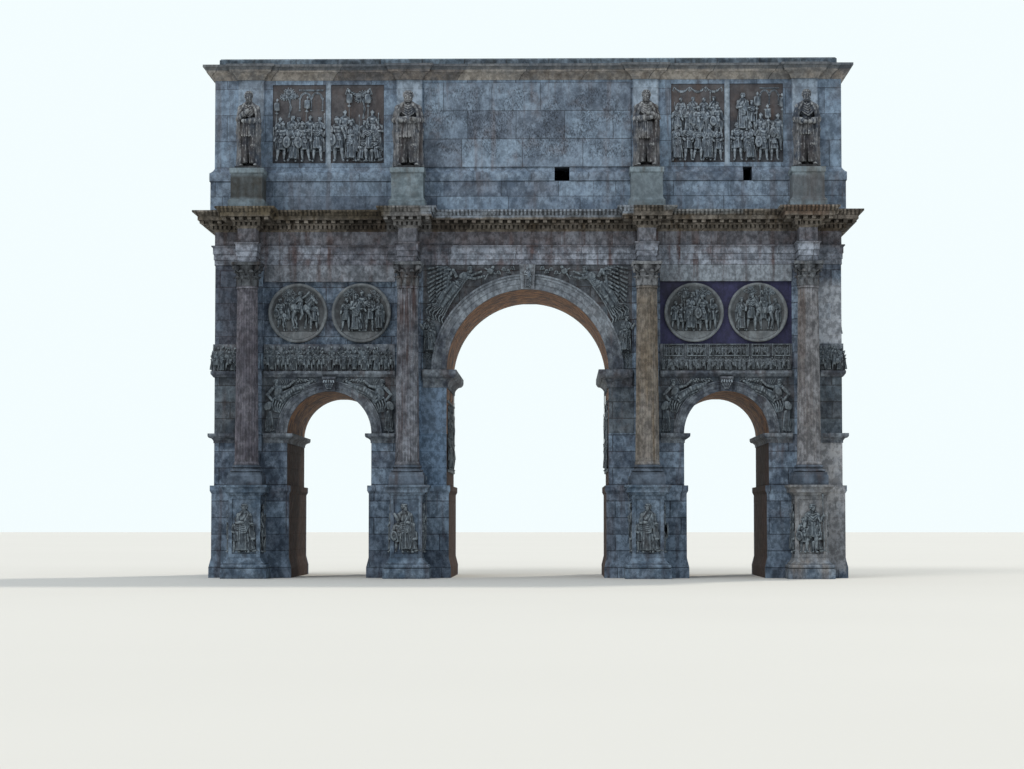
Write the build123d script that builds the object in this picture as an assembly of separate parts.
from build123d import *
from math import cos, pi, radians, sin
import os

# A triumphal arch with three vaulted passages, eight detached fluted columns on pedestals,
# a projecting entablature and a hollow attic with statues. Millimetres, +Z up.
# The origin is on the ground in the middle of the central passage. The front faces -Y.
# The back is the front turned half round the Z axis, so most pieces are made once for the
# front and turned for the back.

# Plan of the masonry body
WALL_LENGTH = 25100
WALL_DEPTH = 6800
CENTRAL_SPAN = 6480
SIDE_SPAN = 3380
SIDE_AXIS_X = 7940
INNER_COLUMN_X = 4750
OUTER_COLUMN_X = 11130
COLUMN_STAND_OFF = 950

# Heights of the order, from the ground up
PEDESTAL_HEIGHT = 3680
SUBPLINTH_HEIGHT = 500
BASE_HEIGHT = 300
SHAFT_HEIGHT = 7100
CAPITAL_HEIGHT = 940
ARCHITRAVE_HEIGHT = 790
FRIEZE_HEIGHT = 550
CORNICE_HEIGHT = 800
ATTIC_PLINTH_HEIGHT = 1230
ATTIC_WALL_HEIGHT = 4110
ATTIC_CORNICE_HEIGHT = 590
ROOF_COURSE_HEIGHT = 330

# Arches
SIDE_SPRING_Z = 5760
CENTRAL_SPRING_Z = 8300
SIDE_ARCHIVOLT_WIDTH = 420
CENTRAL_ARCHIVOLT_WIDTH = 610
ARCHIVOLT_PROUD = 130
SIDE_IMPOST_HEIGHT = 380
SIDE_IMPOST_PROUD = 240
CENTRAL_IMPOST_HEIGHT = 700
CENTRAL_IMPOST_PROUD = 400
CENTRAL_KEYSTONE_WIDTH = 640
SIDE_KEYSTONE_WIDTH = 540
KEYSTONE_SHANK_PROUD = 195
KEYSTONE_CROWN_PROUD = 338

# Foot and dado of the piers
PIER_PLINTH_HEIGHT = 420
PIER_PLINTH_PROUD = 180
PIER_PLINTH_SLOPE = 380
DADO_PROUD = 90
PIER_CAP_HEIGHT = 330
PIER_CAP_SLOPE = 120
PIER_CAP_PROUD = 150

# Pedestals, columns and pilasters
PEDESTAL_HALF = 630
PEDESTAL_SPREAD = 280
PEDESTAL_PANEL_DEPTH = 35
PEDESTAL_PANEL_MARGIN = 150
SUBPLINTH_HALF = 690
SUBPLINTH_SHOULDER = 40
SUBPLINTH_SHOULDER_HEIGHT = 50
SUBPLINTH_NECK_HEIGHT = 90
SHAFT_FOOT_RADIUS = 475
SHAFT_NECK_RADIUS = 405
FLUTE_COUNT = 24
FLUTE_DEPTH = 32
FLUTE_FILLET = 22
ASTRAGAL_HEIGHT = 100
ASTRAGAL_RING_HEIGHT = 60
ASTRAGAL_PROUD = 28
COLLAR_PROUD = 8
APOPHYGE_HEIGHT = 130
APOPHYGE_RING_HEIGHT = 45
APOPHYGE_SPREAD = 30
BASE_SPREAD = 165
BASE_NECK_SPREAD = 50
BASE_UPPER_SPREAD = 102
LOWER_TORUS_HEIGHT = 114
LOWER_TORUS_BULGE = 45
SCOTIA_HEIGHT = 78
UPPER_TORUS_HEIGHT = 78
UPPER_TORUS_BULGE = 30
PILASTER_HALF = 560
PILASTER_PROUD = 200
PILASTER_BASE_PROUD = 60
PILASTER_BASE_NECK_PROUD = 30
PILASTER_ASTRAGAL_PROUD = 25
PILASTER_HEAD_PROUD = 75

# Capitals
ABACUS_HALF = 600
ABACUS_HEIGHT = 120
ABACUS_CLIP = 85
ABACUS_HOLLOW = 115
BELL_FOOT_INSET = 30
BELL_WAIST_INSET = 15
BELL_LIP_FLARE = 60
BELL_LIP_HEIGHT = 40
BELL_WAIST_SHARE = 0.6
LEAF_COUNT = 8
LOWER_LEAF_HEIGHT = 390
LOWER_LEAF_WIDTH = 290
LOWER_LEAF_LEAN = 110
LOWER_LEAF_INSET = 10
UPPER_LEAF_HEIGHT = 640
UPPER_LEAF_WIDTH = 260
UPPER_LEAF_LEAN = 130
UPPER_LEAF_INSET = 20
LEAF_ROOT_DEPTH = 60
LEAF_FOOT_THICKNESS = 35
LEAF_WAIST_THICKNESS = 50
LEAF_TIP_OVERHANG = 25
LEAF_LIP = 5
VOLUTE_RADIUS = 95
VOLUTE_WIDTH = 120
VOLUTE_REACH = 732
VOLUTE_STALK_START = 300
VOLUTE_STALK_FOOT = 360
VOLUTE_STALK_HEIGHT = 330
VOLUTE_STALK_HALF = 45
VOLUTE_STALK_TRIM = 10
VOLUTE_STALK_RISE = 20

# Entablature
BLOCK_HALF = 340
FRIEZE_PROUD = 20
ARCHITRAVE_CROWN = 150
CORNICE_PROJECTION = 840
CORONA_PROJECTION = 640
CORNICE_BED_HEIGHT = 100
CORNICE_BED_PROUD = 110
CORNICE_BED_FILLET = 10
CORNICE_BED_SAG = 12
OVOLO_HEIGHT = 55
OVOLO_PROUD = 30
OVOLO_BULGE = 8
CORONA_SHARE = 0.45
SIMA_FOOT = 25
SIMA_SAG = 30
SIMA_FILLET = 70
MITRE_MARGIN = 50
DENTIL_WIDTH = 110
DENTIL_GAP = 70
DENTIL_HEIGHT = 150
DENTIL_PROUD = 90
MODILLION_WIDTH = 160
MODILLION_GAP = 200
MODILLION_HEIGHT = 120
MODILLION_PROUD = 340

# Side bays between the pilasters
FRIEZE_BAND_HEIGHT = 1080
FRIEZE_BAND_PROUD = 60
LEDGE_HEIGHT = 240
LEDGE_PROUD = 150
LEDGE_Z = 8020
VOTIVE_BAND_HEIGHT = 670
VOTIVE_BAND_PROUD = 40
FIELD_RECESS = 120
VENEER_THICKNESS = 40
ROUNDEL_RADIUS = 1190
ROUNDEL_RIM = 110
ROUNDEL_SPACING = 2550
ROUNDEL_PROUD = 110
ROUNDEL_DISH = 70
ROUNDEL_GROUND = 330
ROUNDEL_GROUND_SET_BACK = 40
ROUNDEL_GROUND_INSET = 20
ROUNDEL_RIM_ROUND = 35
VENEER_CLEARANCE = 6

# Attic
ATTIC_LENGTH = 25200
ATTIC_DEPTH = 6800
ATTIC_PLINTH_PROUD = 150
ATTIC_WALL_THICKNESS = 1100
STRING_HEIGHT = 580
STRING_PROUD = 210
ATTIC_STRIP_HALF = 520
ATTIC_STRIP_PROUD = 120
ATTIC_CORNICE_BREAK = 200
ATTIC_CORNICE_PROJECTION = 450
ROOF_COURSE_SET_BACK = 150
ROOF_COURSE_CHAMFER = 60
PANEL_WIDTH = 2140
PANEL_HEIGHT = 3180
PANEL_MULLION = 210
PANEL_THICKNESS = 170
PANEL_POCKET_DEPTH = 210
PANEL_SILL = 180
PANEL_PAIR_X = 8025
DEDICATION_LENGTH = 8300
DEDICATION_HEIGHT = 3420
DEDICATION_THICKNESS = 50
WINDOWS = ((1390, 600), (8825, 370))

# Statues and what they stand on
STATUE_PEDESTAL_HEIGHT = 1600
STATUE_PEDESTAL_HALF = 630
STATUE_PEDESTAL_CAP = 50
STATUE_PEDESTAL_CAP_HEIGHT = 190
STATUE_PEDESTAL_CAP_SLOPE = 50
STATUE_PEDESTAL_FOOT = 100
STATUE_PEDESTAL_FOOT_HEIGHT = 290
STATUE_PEDESTAL_FOOT_SLOPE = 140
STATUE_PEDESTAL_FOOT_SAG = 20
STATUE_HEIGHT = 3170
STATUE_PLINTH_HEIGHT = 110
STATUE_PLINTH_HALF = 500
STATUE_PLINTH_HALF_DEPTH = 400

# Joins: how far a cut runs past a face, and how far a small part is rooted in what carries it
CUT_MARGIN = 1
BRACKET_ROOT = 5
STRIP_ROOT = 50

# Mouldings as tables from the bottom up. Each row is the share of the projection, the share of the
# height, and the rise of the arc to the next row as a share of the projection, 0 for a straight run.
IMPOST_ROWS = (
    (0, -1, 0),
    (0.12, -1, 0),
    (0.12, -0.82, -0.09),
    (0.62, -0.48, 0),
    (0.72, -0.48, 0.06),
    (1, -0.24, 0),
    (1, 0, 0),
)
ARCHITRAVE_ROWS = (
    (0.2, 0, 0),
    (0.2, 0.28, 0),
    (0.4, 0.28, 0),
    (0.4, 0.57, 0),
    (0.6, 0.57, 0),
    (0.6, 0.83, -0.08),
    (0.9, 0.94, 0),
    (1, 0.94, 0),
    (1, 1, 0),
)
FRIEZE_ROWS = ((1, 0, 0), (1, 1, 0))
STRING_ROWS = (
    (0.9, 0, 0),
    (0.9, 0.10, 0.086),
    (0.9, 0.58, -0.114),
    (0, 0.94, 0),
    (0, 1, 0),
)
ATTIC_CORNICE_ROWS = (
    (0.05, 0, 0),
    (0.10, 0.08, -0.06),
    (0.60, 0.50, 0),
    (0.70, 0.50, 0),
    (0.70, 0.60, 0),
    (0.73, 0.60, -0.04),
    (0.93, 0.84, 0),
    (1, 0.84, 0),
    (1, 1, 0),
)

# The pedestal's mouldings: shares of its spread, with heights in millimetres from its foot and head
PEDESTAL_FOOT_ROWS = (
    (1, 0, 0),
    (1, 400, 0),
    (0.80, 400, 0.16),
    (0.80, 560, 0),
    (0.62, 560, 0),
    (0.62, 610, -0.11),
    (0.10, 820, 0),
    (0, 820, 0),
)
PEDESTAL_HEAD_ROWS = (
    (0, -400, 0),
    (0.14, -400, -0.07),
    (0.46, -290, 0),
    (0.70, -290, 0),
    (0.70, -170, -0.05),
    (0.96, -80, 0),
    (1, -80, 0),
    (1, 0, 0),
)

# The ledge under the figure frieze: the share of its height that slopes, and how proud its foot is
FRIEZE_LEDGE_SLOPE_SHARE = 0.55
FRIEZE_LEDGE_FOOT_SHARE = 0.35

# The bands of an archivolt: the share of its width where each starts, and its share of the depth
ARCHIVOLT_BANDS = ((0, 0.38), (0.36, 0.55), (0.70, 0.74), (0.88, 1), (1, 1))

# A keystone: its foot as a share of its width, and where its front curves, as shares of its rise
KEYSTONE_FOOT_SHARE = 0.82
KEYSTONE_BELLY = (1.02, 0.45)
KEYSTONE_CROWN_SHARE = 0.86

# An acanthus leaf: half its outline in shares of its width and height, and the levels of its curl
LEAF_OUTLINE = ((0.40, 0), (0.50, 0.45), (0.42, 0.80), (0.16, 1.01))
LEAF_CURL_START = 0.62
LEAF_CURL_UNDER = 0.84
LEAF_CURL_TIP = 0.93
LEAF_CURL_BACK = 0.80

# A statue in shares of its height: the cloak as (y, level, half width, half depth), the body as
# (level, half width, half depth), and each limb as two points and two radii for the right side
CLOAK_SECTIONS = (
    (0.0536, 0.0331, 0.1356, 0.0300),
    (0.0473, 0.4500, 0.1262, 0.0284),
    (0.0410, 0.7200, 0.1120, 0.0284),
    (0.0347, 0.8000, 0.0660, 0.0252),
)
BODY_SECTIONS = (
    (0.30, 0.098, 0.068),
    (0.45, 0.088, 0.063),
    (0.56, 0.074, 0.057),
    (0.69, 0.090, 0.064),
    (0.76, 0.082, 0.055),
    (0.83, 0.036, 0.034),
)
LEG = ((0.052, -0.016, 0.033), (0.044, 0, 0.36), 0.029, 0.040)
UPPER_ARM = ((0.088, 0.006, 0.755), (0.120, -0.019, 0.60), 0.031, 0.027)
FOREARMS = (
    ((0.120, -0.022, 0.603), (-0.019, -0.078, 0.60), 0.027, 0.020),
    ((-0.120, -0.022, 0.603), (0.019, -0.074, 0.62), 0.027, 0.020),
)
SHOULDER = ((0.088, 0.006, 0.755), 0.036)
ELBOW = ((0.120, -0.021, 0.602), 0.031)
NECK = ((0, 0, 0.80), (0, -0.003, 0.88), 0.030, 0.028)
HEAD_Y = -0.006
HEAD_LEVEL = 0.922
HEAD_RADIUS = 0.046

# Levels that follow from the heights
SHAFT_Z = PEDESTAL_HEIGHT + SUBPLINTH_HEIGHT + BASE_HEIGHT
CAPITAL_Z = SHAFT_Z + SHAFT_HEIGHT
ARCHITRAVE_Z = CAPITAL_Z + CAPITAL_HEIGHT
FRIEZE_Z = ARCHITRAVE_Z + ARCHITRAVE_HEIGHT
CORNICE_Z = FRIEZE_Z + FRIEZE_HEIGHT
ATTIC_Z = CORNICE_Z + CORNICE_HEIGHT
ATTIC_WALL_Z = ATTIC_Z + ATTIC_PLINTH_HEIGHT
ATTIC_CORNICE_Z = ATTIC_WALL_Z + ATTIC_WALL_HEIGHT
ROOF_COURSE_Z = ATTIC_CORNICE_Z + ATTIC_CORNICE_HEIGHT
FRIEZE_BAND_Z = LEDGE_Z + LEDGE_HEIGHT
FIELD_Z = FRIEZE_BAND_Z + FRIEZE_BAND_HEIGHT
VOTIVE_BAND_Z = ARCHITRAVE_Z - VOTIVE_BAND_HEIGHT
PANEL_Z = ATTIC_WALL_Z + STRING_HEIGHT + PANEL_SILL
STATUE_Z = ATTIC_Z + STATUE_PEDESTAL_HEIGHT

# Plan places that follow from the sizes
HALF_LENGTH = WALL_LENGTH / 2
HALF_DEPTH = WALL_DEPTH / 2
CENTRAL_RADIUS = CENTRAL_SPAN / 2
SIDE_RADIUS = SIDE_SPAN / 2
JAMB_INNER_X = SIDE_AXIS_X - SIDE_RADIUS
JAMB_OUTER_X = SIDE_AXIS_X + SIDE_RADIUS
COLUMN_XS = (-OUTER_COLUMN_X, -INNER_COLUMN_X, INNER_COLUMN_X, OUTER_COLUMN_X)
COLUMN_Y = -(HALF_DEPTH + COLUMN_STAND_OFF)
CENTRE_BAY_X = INNER_COLUMN_X - PILASTER_HALF
BAY_START_X = INNER_COLUMN_X + PILASTER_HALF
BAY_END_X = OUTER_COLUMN_X - PILASTER_HALF
BAY_WIDTH = BAY_END_X - BAY_START_X
BAY_MIDDLE_X = (BAY_START_X + BAY_END_X) / 2
CORNER_STRIP_X = OUTER_COLUMN_X + PILASTER_HALF
CORNICE_SHELF_PROUD = CORNICE_BED_PROUD + DENTIL_PROUD + OVOLO_PROUD
STATUE_WALL_Y = -(ATTIC_DEPTH / 2 + STRING_PROUD)
STATUE_Y = STATUE_WALL_Y - STATUE_PEDESTAL_HALF
FAR = 20000


def box(x0, x1, y0, y1, z0, z1):
    """A box between two corners."""
    size = Box(abs(x1 - x0), abs(y1 - y0), z1 - z0)
    return Pos((x0 + x1) / 2, (y0 + y1) / 2, (z0 + z1) / 2) * size


def turned(shape):
    """The same piece on the back, turned half round the Z axis."""
    return Rot(0, 0, 180) * shape


def both_sides(shapes):
    """Front pieces and their turned copies on the back."""
    return list(shapes) + [turned(shape) for shape in shapes]


def moulding(profile, half, place, sign):
    """The edges of one side of a moulded outline, from the bottom up.

    The profile is a list of (out, z, sagitta): how far the moulding stands out, its height, and
    the rise of the arc that leads to the next point, 0 for a straight run.
    """
    edges = []
    for (out_a, z_a, rise), (out_b, z_b, _) in zip(profile, profile[1:]):
        start = place(sign * (half + out_a), z_a)
        end = place(sign * (half + out_b), z_b)
        if not rise:
            edges.append(Line(start, end))
            continue
        run, climb = out_b - out_a, z_b - z_a
        length = (run * run + climb * climb) ** 0.5
        middle = place(
            sign * (half + (out_a + out_b) / 2 + rise * climb / length),
            (z_a + z_b) / 2 - rise * run / length,
        )
        edges.append(ThreePointArc(start, middle, end))
    return edges


def silhouette(profile, half, place):
    """The closed outline of a moulded block, seen square on."""
    foot, head = profile[0], profile[-1]
    edges = moulding(profile, half, place, 1)
    edges += moulding(profile, half, place, -1)
    edges.append(Line(place(half + foot[0], foot[1]), place(-half - foot[0], foot[1])))
    edges.append(Line(place(half + head[0], head[1]), place(-half - head[0], head[1])))
    return make_face(Curve() + edges)


def moulded_block(x, y, half_x, half_y, profile):
    """A rectangular block with one moulding running round all four sides, mitred at its corners."""
    reach = max(point[0] for point in profile) + max(half_x, half_y) + CUT_MARGIN
    along_x = silhouette(profile, half_x, lambda u, z: (u, 0, z))
    along_y = silhouette(profile, half_y, lambda u, z: (0, u, z))
    block = extrude(along_x, reach, dir=(0, 1, 0), both=True)
    block &= extrude(along_y, reach, dir=(1, 0, 0), both=True)
    return Pos(x, y, 0) * block


def engaged_block(x, half, front, wall, profile):
    """A moulded block against a wall: mouldings on its front and flanks, its back cut at the wall."""
    half_depth = (wall - front) / 2 + max(point[0] for point in profile) + CUT_MARGIN
    block = moulded_block(x, front + half_depth, half, half_depth, profile)
    return block & box(x - FAR, x + FAR, -FAR, wall, 0, 2 * FAR)


def scaled(rows, projection, height, z=0):
    """A table of mouldings at its real projection and height, with its foot at level z."""
    return [(share * projection, z + level * height, rise * projection) for share, level, rise in rows]


def half_round_opening(x, spring_z, radius, depth):
    """The space of a vaulted passage: a rectangle from below the ground and a half cylinder over it."""
    lower = box(x - radius, x + radius, -depth, depth, -CUT_MARGIN, spring_z)
    vault = Pos(x, 0, spring_z) * Rot(90, 0, 0) * Cylinder(radius, 2 * depth)
    return lower + vault


# Masonry body


def pier_profile(top):
    """Plinth, dado and capping course of a pier, then its plain wall up to the springing."""
    cap_z = PEDESTAL_HEIGHT - PIER_CAP_HEIGHT
    return [
        (PIER_PLINTH_PROUD, 0, 0),
        (PIER_PLINTH_PROUD, PIER_PLINTH_HEIGHT, 0),
        (DADO_PROUD, PIER_PLINTH_HEIGHT + PIER_PLINTH_SLOPE, 0),
        (DADO_PROUD, cap_z, 0),
        (PIER_CAP_PROUD, cap_z + PIER_CAP_SLOPE, 0),
        (PIER_CAP_PROUD, PEDESTAL_HEIGHT, 0),
        (0, PEDESTAL_HEIGHT, 0),
        (0, top, 0),
    ]


def pier(x0, x1):
    """One pier, from the ground to the springing of the side arches."""
    profile = pier_profile(SIDE_SPRING_Z)
    return moulded_block((x0 + x1) / 2, 0, (x1 - x0) / 2, HALF_DEPTH, profile)


def side_arch():
    """The masonry over one side passage, from its springing to that of the central vault."""
    mass = box(CENTRAL_RADIUS, HALF_LENGTH, -HALF_DEPTH, HALF_DEPTH, SIDE_SPRING_Z, CENTRAL_SPRING_Z)
    return mass - half_round_opening(SIDE_AXIS_X, SIDE_SPRING_Z, SIDE_RADIUS, FAR)


def central_arch():
    """The central vault with its spandrels, up to the architrave."""
    mass = box(-CENTRE_BAY_X, CENTRE_BAY_X, -HALF_DEPTH, HALF_DEPTH, CENTRAL_SPRING_Z, ARCHITRAVE_Z)
    return mass - half_round_opening(0, CENTRAL_SPRING_Z, CENTRAL_RADIUS, FAR)


def upper_wall():
    """The wall over one side bay, with a sunk field for the roundels on both faces."""
    wall = box(CENTRE_BAY_X, HALF_LENGTH, -HALF_DEPTH, HALF_DEPTH, CENTRAL_SPRING_Z, ARCHITRAVE_Z)
    for face in (-1, 1):
        wall -= box(
            BAY_START_X,
            BAY_END_X,
            face * (HALF_DEPTH - FIELD_RECESS),
            face * FAR,
            FIELD_Z,
            VOTIVE_BAND_Z,
        )
    return wall


# Imposts, archivolts and keystones


def impost_band(x0, x1, spring_z, height, proud):
    """A crown slab on an ovolo, a fillet and a hollow, round a pier that it leaves free."""
    profile = scaled(IMPOST_ROWS, proud, height, spring_z)
    band = moulded_block((x0 + x1) / 2, 0, (x1 - x0) / 2, HALF_DEPTH, profile)
    return band - box(x0, x1, -HALF_DEPTH, HALF_DEPTH, 0, FAR)


def side_imposts():
    """The mouldings at the side springings of the right half: one jamb of the inner pier, and all of
    the outer pier apart from where its pilasters stand."""
    inner = impost_band(CENTRAL_RADIUS, JAMB_INNER_X, SIDE_SPRING_Z, SIDE_IMPOST_HEIGHT, SIDE_IMPOST_PROUD)
    inner -= box(-FAR, BAY_START_X, -FAR, FAR, 0, FAR)
    outer = impost_band(JAMB_OUTER_X, HALF_LENGTH, SIDE_SPRING_Z, SIDE_IMPOST_HEIGHT, SIDE_IMPOST_PROUD)
    outer -= box(BAY_END_X, CORNER_STRIP_X, -FAR, FAR, 0, FAR)
    return inner.solids() + outer.solids()


def central_impost():
    """The moulding at the central springing, on the jamb and as far as the pilasters."""
    height, proud = CENTRAL_IMPOST_HEIGHT, CENTRAL_IMPOST_PROUD
    band = impost_band(CENTRAL_RADIUS, JAMB_INNER_X, CENTRAL_SPRING_Z, height, proud)
    return band - box(CENTRE_BAY_X, FAR, -FAR, FAR, 0, FAR)


def keystone(x, top_z, foot_z, width):
    """A tapering bracket that stands out further at its head, with a curved front."""
    head, foot = width / 2, width / 2 * KEYSTONE_FOOT_SHARE
    front = -HALF_DEPTH
    face = make_face(
        Polyline(
            (x - foot, 0, foot_z),
            (x + foot, 0, foot_z),
            (x + head, 0, top_z),
            (x - head, 0, top_z),
            close=True,
        )
    )
    shank, crown = front - KEYSTONE_SHANK_PROUD, front - KEYSTONE_CROWN_PROUD
    belly_share, belly_level = KEYSTONE_BELLY
    belly = front - KEYSTONE_SHANK_PROUD * belly_share
    rise = top_z - foot_z
    crown_z = foot_z + rise * KEYSTONE_CROWN_SHARE
    side = make_face(
        Curve()
        + [
            Line((0, front, foot_z), (0, shank, foot_z)),
            ThreePointArc(
                (0, shank, foot_z), (0, belly, foot_z + rise * belly_level), (0, crown, crown_z)
            ),
            Line((0, crown, crown_z), (0, crown, top_z)),
            Line((0, crown, top_z), (0, front, top_z)),
            Line((0, front, top_z), (0, front, foot_z)),
        ]
    )
    return extrude(face, FAR, dir=(0, 1, 0), both=True) & extrude(side, FAR, dir=(1, 0, 0), both=True)


def archivolt(x, spring_z, radius, width, key):
    """A half ring of three stepped bands under a crowning fillet, parted by its keystone."""
    front = -HALF_DEPTH
    points = [(x + radius, front, spring_z)]
    proud = ARCHIVOLT_BANDS[0][1]
    for share, next_proud in ARCHIVOLT_BANDS:
        points.append((x + radius + share * width, front - proud * ARCHIVOLT_PROUD, spring_z))
        points.append((x + radius + share * width, front - next_proud * ARCHIVOLT_PROUD, spring_z))
        proud = next_proud
    points.append((x + radius + width, front, spring_z))
    outline = [point for n, point in enumerate(points) if n == 0 or point != points[n - 1]]
    section = make_face(Polyline(*outline, close=True))
    ring = revolve(section, Axis((x, 0, spring_z), (0, -1, 0)), 180)
    return ring - key


def central_keystone():
    """The keystone of the central arch, which reaches up to the architrave."""
    return keystone(0, ARCHITRAVE_Z, CENTRAL_SPRING_Z + CENTRAL_RADIUS, CENTRAL_KEYSTONE_WIDTH)


def side_keystone(x):
    """The keystone of a side arch, which reaches up to the ledge under the figure frieze."""
    return keystone(x, LEDGE_Z, SIDE_SPRING_Z + SIDE_RADIUS, SIDE_KEYSTONE_WIDTH)


# Pedestals, columns and pilasters


def pedestal_profile():
    """Plinth, torus, fillet and hollow at the foot, and a cavetto, corona and fillet at the head."""
    foot = scaled(PEDESTAL_FOOT_ROWS, PEDESTAL_SPREAD, 1)
    return foot + scaled(PEDESTAL_HEAD_ROWS, PEDESTAL_SPREAD, 1, PEDESTAL_HEIGHT)


def sunk_panels(x, y, half, z0, z1, margin, depth):
    """Shallow sunk panels for the front and both flanks of a square die."""
    inner = half - margin
    low, high = z0 + margin, z1 - margin
    outside = half + CUT_MARGIN
    front = box(x - inner, x + inner, y - outside, y - half + depth, low, high)
    left = box(x - outside, x - half + depth, y - inner, y + inner, low, high)
    right = box(x + half - depth, x + outside, y - inner, y + inner, low, high)
    return [front, left, right]


def pedestal(x, piers):
    """The pedestal under one column, cut to the mouldings of the pier that it stands against."""
    front = COLUMN_Y - PEDESTAL_HALF
    block = engaged_block(x, PEDESTAL_HALF, front, -HALF_DEPTH, pedestal_profile())
    die = (PEDESTAL_FOOT_ROWS[-1][1], PEDESTAL_HEIGHT + PEDESTAL_HEAD_ROWS[0][1])
    for panel in sunk_panels(x, COLUMN_Y, PEDESTAL_HALF, *die, PEDESTAL_PANEL_MARGIN, PEDESTAL_PANEL_DEPTH):
        block -= panel
    for solid in piers:
        block -= solid
    return block


def subplinth_profile():
    """The square block under a column base, with a chamfered shoulder."""
    z, top = PEDESTAL_HEIGHT, PEDESTAL_HEIGHT + SUBPLINTH_HEIGHT
    neck_z = top - SUBPLINTH_NECK_HEIGHT
    return [
        (0, z, 0),
        (0, neck_z - SUBPLINTH_SHOULDER_HEIGHT, 0),
        (-SUBPLINTH_SHOULDER, neck_z, 0),
        (-SUBPLINTH_SHOULDER, top, 0),
    ]


def half_torus(radius, bulge, z0, z1):
    """The outline of a torus that stands out from its radius, in the XZ plane."""
    return ThreePointArc((radius, 0, z0), (radius + bulge, 0, (z0 + z1) / 2), (radius, 0, z1))


def column_base(x):
    """A square block with two tori and the hollow between them."""
    block = moulded_block(x, COLUMN_Y, SUBPLINTH_HALF, SUBPLINTH_HALF, subplinth_profile())
    z0 = PEDESTAL_HEIGHT + SUBPLINTH_HEIGHT
    z1 = z0 + LOWER_TORUS_HEIGHT
    z2 = z1 + SCOTIA_HEIGHT
    z3 = z2 + UPPER_TORUS_HEIGHT
    z4 = z0 + BASE_HEIGHT
    foot = SHAFT_FOOT_RADIUS + BASE_SPREAD - LOWER_TORUS_BULGE
    neck = SHAFT_FOOT_RADIUS + BASE_NECK_SPREAD
    shoulder = SHAFT_FOOT_RADIUS + BASE_UPPER_SPREAD
    upper = shoulder - UPPER_TORUS_BULGE
    edges = [
        Line((0, 0, z0), (foot, 0, z0)),
        half_torus(foot, LOWER_TORUS_BULGE, z0, z1),
        Line((foot, 0, z1), (shoulder, 0, z1)),
        ThreePointArc((shoulder, 0, z1), (neck, 0, (z1 + z2) / 2), (upper, 0, z2)),
        half_torus(upper, UPPER_TORUS_BULGE, z2, z3),
        Line((upper, 0, z3), (neck, 0, z3)),
        Line((neck, 0, z3), (neck, 0, z4)),
        Line((neck, 0, z4), (0, 0, z4)),
        Line((0, 0, z4), (0, 0, z0)),
    ]
    mouldings = revolve(make_face(Curve() + edges), Axis.Z)
    return block + Pos(x, COLUMN_Y, 0) * mouldings


def fluted_section(radius, z):
    """The shaft's section: hollow flutes, with a narrow flat left between each two."""
    edges = []
    step = 2 * pi / FLUTE_COUNT
    flat = FLUTE_FILLET / SHAFT_FOOT_RADIUS
    for n in range(FLUTE_COUNT):
        start, end = n * step + flat / 2, (n + 1) * step - flat / 2
        middle = (start + end) / 2
        hollow = radius * (1 - FLUTE_DEPTH / SHAFT_FOOT_RADIUS)
        a = (radius * cos(start), radius * sin(start), z)
        b = (hollow * cos(middle), hollow * sin(middle), z)
        c = (radius * cos(end), radius * sin(end), z)
        d = (radius * cos(end + flat), radius * sin(end + flat), z)
        edges += [ThreePointArc(a, b, c), Line(c, d)]
    return make_face(Curve() + edges)


def column_shaft():
    """A tapering fluted shaft with a flared foot and an astragal under the capital, on the Z axis."""
    flute_z = SHAFT_Z + APOPHYGE_HEIGHT
    neck_z = CAPITAL_Z - ASTRAGAL_HEIGHT
    fluted = loft(
        [fluted_section(SHAFT_FOOT_RADIUS, flute_z), fluted_section(SHAFT_NECK_RADIUS, neck_z)],
        ruled=True,
    )
    spread = SHAFT_FOOT_RADIUS + APOPHYGE_SPREAD
    flare_height = APOPHYGE_HEIGHT - APOPHYGE_RING_HEIGHT
    foot = Pos(0, 0, SHAFT_Z) * extrude(Circle(spread), APOPHYGE_RING_HEIGHT)
    flare = Cone(spread, SHAFT_FOOT_RADIUS, flare_height)
    flare = Pos(0, 0, flute_z - flare_height / 2) * flare
    ring = Pos(0, 0, neck_z) * extrude(Circle(SHAFT_NECK_RADIUS + ASTRAGAL_PROUD), ASTRAGAL_RING_HEIGHT)
    collar = extrude(Circle(SHAFT_NECK_RADIUS + COLLAR_PROUD), ASTRAGAL_HEIGHT - ASTRAGAL_RING_HEIGHT)
    return fluted + foot + flare + ring + Pos(0, 0, neck_z + ASTRAGAL_RING_HEIGHT) * collar


def leaf(height, root_radius, lean, width):
    """One acanthus leaf in the +X direction: it follows the bell, curls over at its tip and narrows."""
    inside = root_radius - LEAF_ROOT_DEPTH
    foot = root_radius + LEAF_FOOT_THICKNESS
    waist = root_radius + LEAF_WAIST_THICKNESS
    tip = root_radius + lean + LEAF_TIP_OVERHANG
    start_z, under_z = height * LEAF_CURL_START, height * LEAF_CURL_UNDER
    tip_z, back_z = height * LEAF_CURL_TIP, height * LEAF_CURL_BACK
    crest = root_radius + lean * LEAF_CURL_START
    side = make_face(
        Curve()
        + [
            Line((inside, 0, 0), (foot, 0, 0)),
            Line((foot, 0, 0), (waist, 0, start_z)),
            ThreePointArc((waist, 0, start_z), (crest, 0, under_z), (tip, 0, under_z)),
            Line((tip, 0, under_z), (tip + LEAF_LIP, 0, tip_z)),
            ThreePointArc((tip + LEAF_LIP, 0, tip_z), (crest, 0, height), (root_radius, 0, back_z)),
            Line((root_radius, 0, back_z), (inside, 0, back_z)),
            Line((inside, 0, back_z), (inside, 0, 0)),
        ]
    )
    right = [(0, width * across, height * up) for across, up in LEAF_OUTLINE]
    left = [(0, -y, z) for _, y, z in reversed(right)]
    front = make_face(Polyline(*right, *left, close=True))
    return extrude(side, width, dir=(0, 1, 0), both=True) & extrude(front, FAR, dir=(1, 0, 0), both=True)


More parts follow.
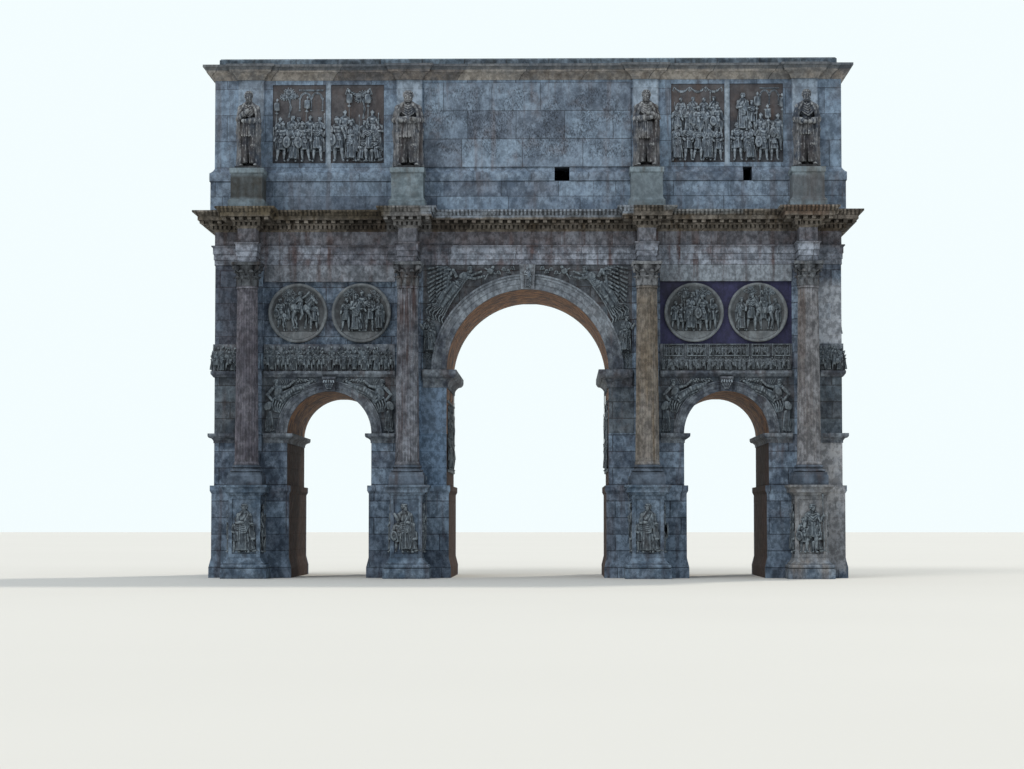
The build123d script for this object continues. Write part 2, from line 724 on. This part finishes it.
def abacus():
    """The slab on top of a capital: hollow sides and clipped corners."""
    corner, clip = ABACUS_HALF, ABACUS_HALF - ABACUS_CLIP
    edges = []
    for n in range(4):
        turn = Rot(0, 0, 90 * n)
        a, b = Vector(-clip, -corner, 0), Vector(clip, -corner, 0)
        side = ThreePointArc(a, Vector(0, -corner + ABACUS_HOLLOW, 0), b)
        edges += [turn * side, turn * Line(b, Vector(corner, -clip, 0))]
    return extrude(make_face(Curve() + edges), ABACUS_HEIGHT)


def volute(bell_height):
    """One pair of scrolls under a corner of the abacus, on the diagonal in the +X +Y direction."""
    eye = VOLUTE_REACH - VOLUTE_RADIUS
    scroll = Rot(90, 0, 0) * Cylinder(VOLUTE_RADIUS, VOLUTE_WIDTH)
    scroll = Pos(eye, 0, bell_height - VOLUTE_RADIUS) * scroll
    top = bell_height - VOLUTE_STALK_TRIM
    stalk = make_face(
        Polyline(
            (VOLUTE_STALK_START, 0, bell_height - VOLUTE_STALK_HEIGHT),
            (VOLUTE_STALK_FOOT, 0, bell_height - VOLUTE_STALK_HEIGHT),
            (eye, 0, bell_height - 2 * VOLUTE_RADIUS + VOLUTE_STALK_RISE),
            (eye, 0, top),
            (VOLUTE_STALK_START, 0, top),
            close=True,
        )
    )
    stalk = extrude(stalk, VOLUTE_STALK_HALF, dir=(0, 1, 0), both=True)
    return Rot(0, 0, 45) * (scroll + stalk)


def bell(bell_height):
    """The core of a capital, which the leaves follow, on the Z axis."""
    foot = SHAFT_NECK_RADIUS - BELL_FOOT_INSET
    waist = SHAFT_NECK_RADIUS - BELL_WAIST_INSET
    lip = SHAFT_NECK_RADIUS + BELL_LIP_FLARE
    lip_z = bell_height - BELL_LIP_HEIGHT
    edges = [
        Line((0, 0, 0), (foot, 0, 0)),
        ThreePointArc((foot, 0, 0), (waist, 0, bell_height * BELL_WAIST_SHARE), (lip, 0, lip_z)),
        Line((lip, 0, lip_z), (lip, 0, bell_height)),
        Line((lip, 0, bell_height), (0, 0, bell_height)),
        Line((0, 0, bell_height), (0, 0, 0)),
    ]
    return revolve(make_face(Curve() + edges), Axis.Z)


def capital():
    """A leafy capital on the Z axis, its foot at z 0."""
    bell_height = CAPITAL_HEIGHT - ABACUS_HEIGHT
    radius = SHAFT_NECK_RADIUS
    pieces = [Pos(0, 0, bell_height) * abacus()]
    lower = leaf(LOWER_LEAF_HEIGHT, radius - LOWER_LEAF_INSET, LOWER_LEAF_LEAN, LOWER_LEAF_WIDTH)
    upper = leaf(UPPER_LEAF_HEIGHT, radius - UPPER_LEAF_INSET, UPPER_LEAF_LEAN, UPPER_LEAF_WIDTH)
    for n in range(LEAF_COUNT):
        angle = 360 / LEAF_COUNT * n
        pieces.append(Rot(0, 0, angle) * lower)
        pieces.append(Rot(0, 0, angle + 180 / LEAF_COUNT) * upper)
    for n in range(4):
        pieces.append(Rot(0, 0, 90 * n) * volute(bell_height))
    leafy = bell(bell_height)
    for piece in pieces:
        leafy += piece
    return leafy


def pilaster(x):
    """The flat shaft behind a column, with a simple base and head, standing on the pedestal's level."""
    z, top = PEDESTAL_HEIGHT, ARCHITRAVE_Z
    astragal_z = CAPITAL_Z - ASTRAGAL_HEIGHT
    profile = [
        (PILASTER_BASE_PROUD, z, 0),
        (PILASTER_BASE_PROUD, SHAFT_Z - BASE_HEIGHT, 0),
        (PILASTER_BASE_NECK_PROUD, SHAFT_Z, 0),
        (0, SHAFT_Z, 0),
        (0, astragal_z, 0),
        (PILASTER_ASTRAGAL_PROUD, astragal_z, 0),
        (PILASTER_ASTRAGAL_PROUD, CAPITAL_Z, 0),
        (0, CAPITAL_Z, 0),
        (PILASTER_HEAD_PROUD, top - ABACUS_HEIGHT, 0),
        (PILASTER_HEAD_PROUD, top, 0),
    ]
    depth = PILASTER_PROUD - PILASTER_HEAD_PROUD
    block = moulded_block(x, -HALF_DEPTH, PILASTER_HALF - PILASTER_HEAD_PROUD, depth, profile)
    return block & box(x - FAR, x + FAR, -FAR, -HALF_DEPTH, 0, FAR)


# Entablature


def architrave_profile():
    """Three fasciae, each standing out over the one below, and a crowning moulding."""
    return scaled(ARCHITRAVE_ROWS, ARCHITRAVE_CROWN, ARCHITRAVE_HEIGHT, ARCHITRAVE_Z)


def frieze_profile():
    """The plain frieze over the architrave."""
    return scaled(FRIEZE_ROWS, FRIEZE_PROUD, FRIEZE_HEIGHT, FRIEZE_Z)


def cornice_levels():
    """The levels in the cornice, each at the top of: bed, dentils, ovolo, modillions and corona."""
    bed = CORNICE_Z + CORNICE_BED_HEIGHT
    dentils = bed + DENTIL_HEIGHT
    ovolo = dentils + OVOLO_HEIGHT
    modillions = ovolo + MODILLION_HEIGHT
    corona = modillions + (ATTIC_Z - modillions) * CORONA_SHARE
    return bed, dentils, ovolo, modillions, corona


def cornice_profile():
    """The solid of the cornice without its dentils and modillions."""
    bed, dentils, ovolo, modillions, corona = cornice_levels()
    return [
        (FRIEZE_PROUD, CORNICE_Z, -CORNICE_BED_SAG),
        (CORNICE_BED_PROUD - CORNICE_BED_FILLET, bed, 0),
        (CORNICE_BED_PROUD, bed, 0),
        (CORNICE_BED_PROUD, dentils, 0),
        (CORNICE_BED_PROUD + DENTIL_PROUD, dentils, OVOLO_BULGE),
        (CORNICE_SHELF_PROUD, ovolo, 0),
        (CORNICE_SHELF_PROUD, modillions, 0),
        (CORONA_PROJECTION, modillions, 0),
        (CORONA_PROJECTION, corona, 0),
        (CORONA_PROJECTION + SIMA_FOOT, corona, -SIMA_SAG),
        (CORNICE_PROJECTION, ATTIC_Z - SIMA_FILLET, 0),
        (CORNICE_PROJECTION, ATTIC_Z, 0),
    ]


def row_places(length, width, gap):
    """The middles of equal blocks spread evenly along a run, with one at each end."""
    count = max(2, round((length - width) / (width + gap)) + 1)
    pitch = (length - width) / (count - 1)
    return [-(length - width) / 2 + n * pitch for n in range(count)]


def bracket_row(x0, x1, y_face, proud, width, gap, z0, z1):
    """Blocks along a front face from x0 to x1, sunk a little into what carries them."""
    middle = (x0 + x1) / 2
    front, root = y_face - proud, y_face + BRACKET_ROOT
    return [
        box(middle + u - width / 2, middle + u + width / 2, front, root, z0, z1)
        for u in row_places(x1 - x0, width, gap)
    ]


def bracket_flank(y0, y1, x_face, side, proud, width, gap, z0, z1):
    """Blocks along a flank that faces +X or -X."""
    middle = (y0 + y1) / 2
    root, front = x_face - side * BRACKET_ROOT, x_face + side * proud
    return [
        box(root, front, middle + u - width / 2, middle + u + width / 2, z0, z1)
        for u in row_places(y1 - y0, width, gap)
    ]


def bracket_bands():
    """Dentils and modillions: where each row starts, how far it stands out, its width, gap and levels."""
    bed, dentils, ovolo, modillions, _ = cornice_levels()
    return [
        (CORNICE_BED_PROUD, DENTIL_PROUD, DENTIL_WIDTH, DENTIL_GAP, bed, dentils),
        (CORNICE_SHELF_PROUD, MODILLION_PROUD, MODILLION_WIDTH, MODILLION_GAP, ovolo, modillions),
    ]


def ressaut_zone(x):
    """The space in front of the wall that belongs to the block over one column: its sides run out at
    45 degrees, so that the mouldings of wall and block meet in a mitre."""
    run = CORNICE_PROJECTION + MITRE_MARGIN
    wall, half = -HALF_DEPTH, BLOCK_HALF
    plan = make_face(
        Polyline(
            (x - half, wall, 0),
            (x - half - run, wall - run, 0),
            (x - half - run, -FAR, 0),
            (x + half + run, -FAR, 0),
            (x + half + run, wall - run, 0),
            (x + half, wall, 0),
            close=True,
        )
    )
    height = ATTIC_Z - ARCHITRAVE_Z + 2 * CUT_MARGIN
    return Pos(0, 0, ARCHITRAVE_Z - CUT_MARGIN) * extrude(plan, height, dir=(0, 0, 1))


def entablature_block(x, zone):
    """The architrave and frieze that break forward over one column, in one block."""
    profile = architrave_profile() + frieze_profile()
    return engaged_block(x, BLOCK_HALF, COLUMN_Y - BLOCK_HALF, -HALF_DEPTH, profile) & zone


def cornice_block(x, zone):
    """The cornice that breaks forward over one column, with its dentils and modillions."""
    front = COLUMN_Y - BLOCK_HALF
    block = engaged_block(x, BLOCK_HALF, front, -HALF_DEPTH, cornice_profile())
    for start, proud, width, gap, z0, z1 in bracket_bands():
        end = BLOCK_HALF + start
        row = bracket_row(x - end - proud, x + end + proud, front - start, proud, width, gap, z0, z1)
        block += row
        y0, y1 = front - start + gap, -HALF_DEPTH - start - proud
        if y1 - y0 > 2 * width:
            for side in (-1, 1):
                flank = bracket_flank(y0, y1, x + side * end, side, proud, width, gap, z0, z1)
                block += flank
    return block & zone


def entablature_course(profile, zones):
    """One course of the entablature round the whole body, parted where the blocks break forward."""
    slab = moulded_block(0, 0, HALF_LENGTH, HALF_DEPTH, profile)
    for zone in zones:
        slab -= zone
    return slab


def main_cornice(zones):
    """The cornice round the body with its dentils and modillions."""
    slab = moulded_block(0, 0, HALF_LENGTH, HALF_DEPTH, cornice_profile())
    edges = sorted(x + side * BLOCK_HALF for x in COLUMN_XS for side in (-1, 1))
    blocks = []
    for start, proud, width, gap, z0, z1 in bracket_bands():
        corner = HALF_LENGTH + start + proud
        runs = [(-corner, edges[0])] + list(zip(edges[1:-1:2], edges[2:-1:2])) + [(edges[-1], corner)]
        for x0, x1 in runs:
            inset0 = 0 if x0 == -corner else start + proud + gap
            inset1 = 0 if x1 == corner else start + proud + gap
            face = -HALF_DEPTH - start
            row = bracket_row(x0 + inset0, x1 - inset1, face, proud, width, gap, z0, z1)
            blocks += both_sides(row)
        y_run = HALF_DEPTH + start - gap
        for side in (-1, 1):
            x_face = side * (HALF_LENGTH + start)
            blocks += bracket_flank(-y_run, y_run, x_face, side, proud, width, gap, z0, z1)
    slab += blocks
    for zone in zones:
        slab -= zone
    return slab


# Ornament of the side bays


def frieze_and_ledge():
    """The outline of the figure frieze and of the ledge under it."""
    return [
        (LEDGE_PROUD * FRIEZE_LEDGE_FOOT_SHARE, LEDGE_Z, 0),
        (LEDGE_PROUD, LEDGE_Z + LEDGE_HEIGHT * FRIEZE_LEDGE_SLOPE_SHARE, 0),
        (LEDGE_PROUD, FRIEZE_BAND_Z, 0),
        (FRIEZE_BAND_PROUD, FRIEZE_BAND_Z, 0),
        (FRIEZE_BAND_PROUD, FIELD_Z, 0),
    ]


def bay_frieze(x0, x1):
    """The figure frieze of one bay and the ledge under it, on the front wall."""
    wall = -HALF_DEPTH
    outline = [(0, wall - out, z) for out, z, _ in frieze_and_ledge()]
    face = make_face(Polyline((0, wall, LEDGE_Z), *outline, (0, wall, FIELD_Z), close=True))
    return Pos(x0, 0, 0) * extrude(face, x1 - x0, dir=(1, 0, 0))


def end_frieze():
    """The same frieze and ledge round the right end, from one corner pilaster to the other."""
    band = moulded_block(0, 0, HALF_LENGTH, HALF_DEPTH, frieze_and_ledge())
    band -= box(-HALF_LENGTH, HALF_LENGTH, -HALF_DEPTH, HALF_DEPTH, 0, FAR)
    return band & box(CORNER_STRIP_X, FAR, -FAR, FAR, 0, FAR)


def votive_band(x0, x1):
    """The plain band over the roundels of one bay, on the front wall."""
    return box(x0, x1, -HALF_DEPTH - VOTIVE_BAND_PROUD, -HALF_DEPTH, VOTIVE_BAND_Z, ARCHITRAVE_Z)


def roundel_places():
    """Middles of the four roundels on one face, and their height."""
    offsets = (-ROUNDEL_SPACING / 2, ROUNDEL_SPACING / 2)
    xs = [side * BAY_MIDDLE_X + offset for side in (-1, 1) for offset in offsets]
    return xs, (FIELD_Z + VOTIVE_BAND_Z) / 2


def roundel(seat):
    """A dished disc with a moulded rim, facing -Y, its middle at the origin and its back at y = seat."""
    front, radius = -ROUNDEL_PROUD, ROUNDEL_RADIUS
    edge, dish = front + ROUNDEL_RIM_ROUND, front + ROUNDEL_DISH
    rim = radius - ROUNDEL_RIM
    floor = rim - ROUNDEL_RIM_ROUND
    section = make_face(
        Curve()
        + [
            Line((0, seat, 0), (radius, seat, 0)),
            Line((radius, seat, 0), (radius, edge, 0)),
            ThreePointArc((radius, edge, 0), ((radius + rim) / 2, front, 0), (rim, edge, 0)),
            Line((rim, edge, 0), (floor, dish, 0)),
            Line((floor, dish, 0), (0, dish, 0)),
            Line((0, dish, 0), (0, seat, 0)),
        ]
    )
    disc = revolve(section, Axis.Y)
    bowl = Rot(90, 0, 0) * Cylinder(rim - ROUNDEL_GROUND_INSET, 4 * ROUNDEL_PROUD)
    ledge_front = front + ROUNDEL_GROUND_SET_BACK
    ledge = box(-rim, rim, ledge_front, dish + BRACKET_ROOT, -rim, -rim + ROUNDEL_GROUND)
    return disc + (ledge & bowl)


def roundels(seat):
    """The four roundels of the front."""
    xs, z = roundel_places()
    disc = roundel(seat)
    return [Pos(x, -HALF_DEPTH, z) * disc for x in xs]


def veneer():
    """The dark veneer behind the roundels of the right bay, with holes that they sit in."""
    xs, z = roundel_places()
    back = -HALF_DEPTH + FIELD_RECESS
    slab = box(BAY_START_X, BAY_END_X, back - VENEER_THICKNESS, back, FIELD_Z, VOTIVE_BAND_Z)
    hole = Rot(90, 0, 0) * Cylinder(ROUNDEL_RADIUS + VENEER_CLEARANCE, 4 * VENEER_THICKNESS)
    for x in xs[2:]:
        slab -= Pos(x, back, z) * hole
    return slab


# Attic


def string_profile():
    """The swelling string course between the attic's plinth and its wall."""
    return scaled(STRING_ROWS, STRING_PROUD, STRING_HEIGHT, ATTIC_WALL_Z)


def panel_places():
    """Middles of the four relief panels on one face."""
    shift = (PANEL_WIDTH + PANEL_MULLION) / 2
    return [side * PANEL_PAIR_X + d for side in (-1, 1) for d in (-shift, shift)]


def chamber_walls(outer):
    """The front wall and the two end walls that a chamber leaves of a solid attic storey."""
    inner_x = ATTIC_LENGTH / 2 - ATTIC_WALL_THICKNESS
    inner_y = ATTIC_DEPTH / 2 - ATTIC_WALL_THICKNESS
    shell = outer - box(-inner_x, inner_x, -inner_y, inner_y, 0, FAR * 2)
    front = shell & box(-FAR, FAR, -FAR, -inner_y, 0, FAR * 2)
    ends = shell & box(-FAR, FAR, -inner_y, inner_y, 0, FAR * 2)
    return front, ends


def string_course():
    """The string course as lengths of wall round the chamber; its windows are the gaps between them."""
    outer = moulded_block(0, 0, ATTIC_LENGTH / 2, ATTIC_DEPTH / 2, string_profile())
    front, ends = chamber_walls(outer)
    for x, width in WINDOWS:
        front -= box(x - width / 2, x + width / 2, -FAR, 0, 0, FAR * 2)
    return both_sides([front]) + [ends]


def attic_walls():
    """The attic's walls over the string course. The front has a strip behind each statue and a pocket
    for each relief panel."""
    foot = ATTIC_WALL_Z + STRING_HEIGHT
    half_x, half_y = ATTIC_LENGTH / 2, ATTIC_DEPTH / 2
    front, ends = chamber_walls(box(-half_x, half_x, -half_y, half_y, foot, ATTIC_CORNICE_Z))
    for x in COLUMN_XS:
        low, high = x - ATTIC_STRIP_HALF, x + ATTIC_STRIP_HALF
        face, root = -half_y - ATTIC_STRIP_PROUD, -half_y + STRIP_ROOT
        front += box(low, high, face, root, foot, ATTIC_CORNICE_Z)
    for x in panel_places():
        low, high = x - PANEL_WIDTH / 2, x + PANEL_WIDTH / 2
        front -= box(low, high, -FAR, -half_y + PANEL_POCKET_DEPTH, PANEL_Z, PANEL_Z + PANEL_HEIGHT)
    return front, turned(front), ends


def attic_cornice():
    """The cornice slab that roofs the attic, breaking forward over each statue."""
    half_x, half_y = ATTIC_LENGTH / 2, ATTIC_DEPTH / 2
    reach, height = ATTIC_CORNICE_PROJECTION, ATTIC_CORNICE_HEIGHT
    profile = scaled(ATTIC_CORNICE_ROWS, reach, height, ATTIC_CORNICE_Z)
    slab = moulded_block(0, 0, half_x, half_y, profile)
    for x in COLUMN_XS:
        slab += moulded_block(x, 0, ATTIC_STRIP_HALF, half_y + ATTIC_CORNICE_BREAK, profile)
    return slab


def roof_course():
    """The low course of blocks set back on the cornice."""
    half_x = ATTIC_LENGTH / 2 - ROOF_COURSE_SET_BACK
    half_y = ATTIC_DEPTH / 2 - ROOF_COURSE_SET_BACK
    top = ROOF_COURSE_Z + ROOF_COURSE_HEIGHT
    edge = ROOF_COURSE_CHAMFER
    profile = [(0, ROOF_COURSE_Z, 0), (0, top - edge, 0), (-edge, top, 0)]
    return moulded_block(0, 0, half_x, half_y, profile)


def relief_panels():
    """The four carved slabs of the front, seated at the back of their pockets."""
    back = -ATTIC_DEPTH / 2 + PANEL_POCKET_DEPTH
    half = PANEL_WIDTH / 2
    return [
        box(x - half, x + half, back - PANEL_THICKNESS, back, PANEL_Z, PANEL_Z + PANEL_HEIGHT)
        for x in panel_places()
    ]


def dedication_panel():
    """The plain central tablet of the front."""
    face = -ATTIC_DEPTH / 2
    half = DEDICATION_LENGTH / 2
    z = ATTIC_WALL_Z + STRING_HEIGHT
    return box(-half, half, face - DEDICATION_THICKNESS, face, z, z + DEDICATION_HEIGHT)


# Statues


def statue_pedestal(x):
    """The block under one statue, standing on the cornice against the attic plinth."""
    z, top = ATTIC_Z + STATUE_PEDESTAL_FOOT_HEIGHT, ATTIC_Z + STATUE_PEDESTAL_HEIGHT
    cap_z = top - STATUE_PEDESTAL_CAP_HEIGHT
    profile = [
        (STATUE_PEDESTAL_FOOT, ATTIC_Z, 0),
        (STATUE_PEDESTAL_FOOT, z, -STATUE_PEDESTAL_FOOT_SAG),
        (0, z + STATUE_PEDESTAL_FOOT_SLOPE, 0),
        (0, cap_z - STATUE_PEDESTAL_CAP_SLOPE, 0),
        (STATUE_PEDESTAL_CAP, cap_z, 0),
        (STATUE_PEDESTAL_CAP, top, 0),
    ]
    half = STATUE_PEDESTAL_HALF
    return engaged_block(x, half, STATUE_Y - half, STATUE_WALL_Y, profile)


def point(share):
    """A point of the statue from its shares of the height."""
    return tuple(STATUE_HEIGHT * value for value in share)


def mirrored(share):
    """The same point on the statue's other side."""
    return -share[0], share[1], share[2]


def cloak():
    """The cloak that hangs from the shoulders to the plinth, through level rectangles."""
    s = STATUE_HEIGHT
    sections = [
        Pos(0, y * s, level * s) * Rectangle(2 * wide * s, 2 * deep * s)
        for y, level, wide, deep in CLOAK_SECTIONS
    ]
    return loft(sections, ruled=True)


def draped_body():
    """The tunic and shoulders, smooth through level ellipses."""
    s = STATUE_HEIGHT
    sections = [Pos(0, 0, level * s) * Ellipse(wide * s, deep * s) for level, wide, deep in BODY_SECTIONS]
    return loft(sections)


def limb(start, end, start_share, end_share):
    """A tapering limb between two points, all in shares of the statue's height."""
    start, end = Vector(*point(start)), Vector(*point(end))
    cone = Cone(start_share * STATUE_HEIGHT, end_share * STATUE_HEIGHT, (end - start).length)
    return Plane(origin=(start + end) / 2, z_dir=end - start) * cone


def joint(centre, share):
    """The round of a shoulder or an elbow."""
    return Pos(*point(centre)) * Sphere(share * STATUE_HEIGHT)


def head():
    """An egg-shaped head: half an ellipse spun about the Z axis."""
    radius, half_height = HEAD_RADIUS * STATUE_HEIGHT, (1 - HEAD_LEVEL) * STATUE_HEIGHT
    outline = EllipticalCenterArc((0, 0, 0), radius, half_height, start_angle=-90, arc_size=180)
    closing = Line((0, half_height, 0), (0, -half_height, 0))
    half_face = Rot(90, 0, 0) * make_face(Curve() + [outline, closing])
    return Pos(*point((0, HEAD_Y, HEAD_LEVEL))) * revolve(half_face, Axis.Z)


def statue():
    """A cloaked standing figure with folded hands, facing -Y, its plinth's foot at the origin."""
    half, half_depth = STATUE_PLINTH_HALF, STATUE_PLINTH_HALF_DEPTH
    figure = box(-half, half, -half_depth, half_depth, 0, STATUE_PLINTH_HEIGHT)
    pieces = [cloak(), draped_body(), limb(*NECK), head()]
    pieces += [limb(*forearm) for forearm in FOREARMS]
    for start, end, start_share, end_share in (LEG, UPPER_ARM):
        pieces.append(limb(start, end, start_share, end_share))
        pieces.append(limb(mirrored(start), mirrored(end), start_share, end_share))
    for centre, share in (SHOULDER, ELBOW):
        pieces.append(joint(centre, share))
        pieces.append(joint(mirrored(centre), share))
    for piece in pieces:
        figure += piece
    return figure


# Build and write every node

zones = both_sides([ressaut_zone(x) for x in COLUMN_XS])
right_outer_pier = pier(JAMB_OUTER_X, HALF_LENGTH)
right_inner_pier = pier(CENTRAL_RADIUS, JAMB_INNER_X)
left_outer_pier, left_inner_pier = turned(right_outer_pier), turned(right_inner_pier)
piers_by_column = (left_outer_pier, left_inner_pier, right_inner_pier, right_outer_pier)
pedestals = [pedestal(x, [solid]) for x, solid in zip(COLUMN_XS, piers_by_column)]
bases = [column_base(x) for x in COLUMN_XS]
shaft = column_shaft()
shafts = [Pos(x, COLUMN_Y, 0) * shaft for x in COLUMN_XS]
leafy_capital = capital()
capitals = [Pos(x, COLUMN_Y, CAPITAL_Z) * leafy_capital for x in COLUMN_XS]
entablature_blocks = [entablature_block(x, zone) for x, zone in zip(COLUMN_XS, zones)]
cornice_blocks = [cornice_block(x, zone) for x, zone in zip(COLUMN_XS, zones)]
side_keys = [side_keystone(side * SIDE_AXIS_X) for side in (-1, 1)]
centre_key = central_keystone()
side_rings = [
    archivolt(side * SIDE_AXIS_X, SIDE_SPRING_Z, SIDE_RADIUS, SIDE_ARCHIVOLT_WIDTH, key)
    for side, key in zip((-1, 1), side_keys)
]
centre_ring = archivolt(0, CENTRAL_SPRING_Z, CENTRAL_RADIUS, CENTRAL_ARCHIVOLT_WIDTH, centre_key)
bays = ((-BAY_END_X, -BAY_START_X), (BAY_START_X, BAY_END_X))
imposts = side_imposts()
end_disc = Pos(HALF_LENGTH, 0, roundel_places()[1]) * Rot(0, 0, 90) * roundel(0)
attic_front, attic_back, attic_ends = attic_walls()
statue_pedestals = [statue_pedestal(x) for x in COLUMN_XS]
figure = statue()
statues = [Pos(x, STATUE_Y, STATUE_Z) * figure for x in COLUMN_XS]

plinth_profile = [(ATTIC_PLINTH_PROUD, ATTIC_Z, 0), (ATTIC_PLINTH_PROUD, ATTIC_WALL_Z, 0)]

nodes = {
    "outer_pier_left": [left_outer_pier],
    "inner_pier_left": [left_inner_pier],
    "inner_pier_right": [right_inner_pier],
    "outer_pier_right": [right_outer_pier],
    "side_arch_left": [turned(side_arch())],
    "side_arch_right": [side_arch()],
    "central_arch": [central_arch()],
    "upper_wall_left": [turned(upper_wall())],
    "upper_wall_right": [upper_wall()],
    "side_imposts": both_sides(imposts),
    "central_imposts": both_sides([central_impost()]),
    "side_archivolts": both_sides(side_rings),
    "central_archivolts": both_sides([centre_ring]),
    "keystones": both_sides(side_keys + [centre_key]),
    "pilasters": both_sides([pilaster(x) for x in COLUMN_XS]),
    "pedestals_front": pedestals,
    "pedestals_back": [turned(piece) for piece in pedestals],
    "column_bases_front": bases,
    "column_bases_back": [turned(piece) for piece in bases],
    "column_shafts_front": shafts,
    "column_shafts_back": [turned(piece) for piece in shafts],
    "capitals_front": capitals,
    "capitals_back": [turned(piece) for piece in capitals],
    "architrave": [entablature_course(architrave_profile(), zones)],
    "entablature_frieze": [entablature_course(frieze_profile(), zones)],
    "main_cornice": [main_cornice(zones)],
    "entablature_blocks": both_sides(entablature_blocks),
    "cornice_blocks": both_sides(cornice_blocks),
    "figure_friezes": both_sides([bay_frieze(x0, x1) for x0, x1 in bays] + [end_frieze()]),
    "votive_bands": both_sides([votive_band(x0, x1) for x0, x1 in bays]),
    "dark_veneers": both_sides([veneer()]),
    "bay_roundels": both_sides(roundels(FIELD_RECESS)),
    "end_roundels": both_sides([end_disc]),
    "attic_plinth": [moulded_block(0, 0, ATTIC_LENGTH / 2, ATTIC_DEPTH / 2, plinth_profile)],
    "attic_string_course": string_course(),
    "attic_front_wall": [attic_front],
    "attic_back_wall": [attic_back],
    "attic_end_walls": [attic_ends],
    "attic_cornice": [attic_cornice()],
    "roof_course": [roof_course()],
    "relief_panels": both_sides(relief_panels()),
    "dedication_panels": both_sides([dedication_panel()]),
    "statue_pedestals": both_sides(statue_pedestals),
    "statues_front": statues,
    "statues_back": [turned(piece) for piece in statues],
}

os.makedirs("parts", exist_ok=True)
for name, shapes in nodes.items():
    solids = [solid for shape in shapes for solid in shape.solids()]
    export_step(Compound(children=solids) if len(solids) > 1 else solids[0], f"parts/{name}.step")
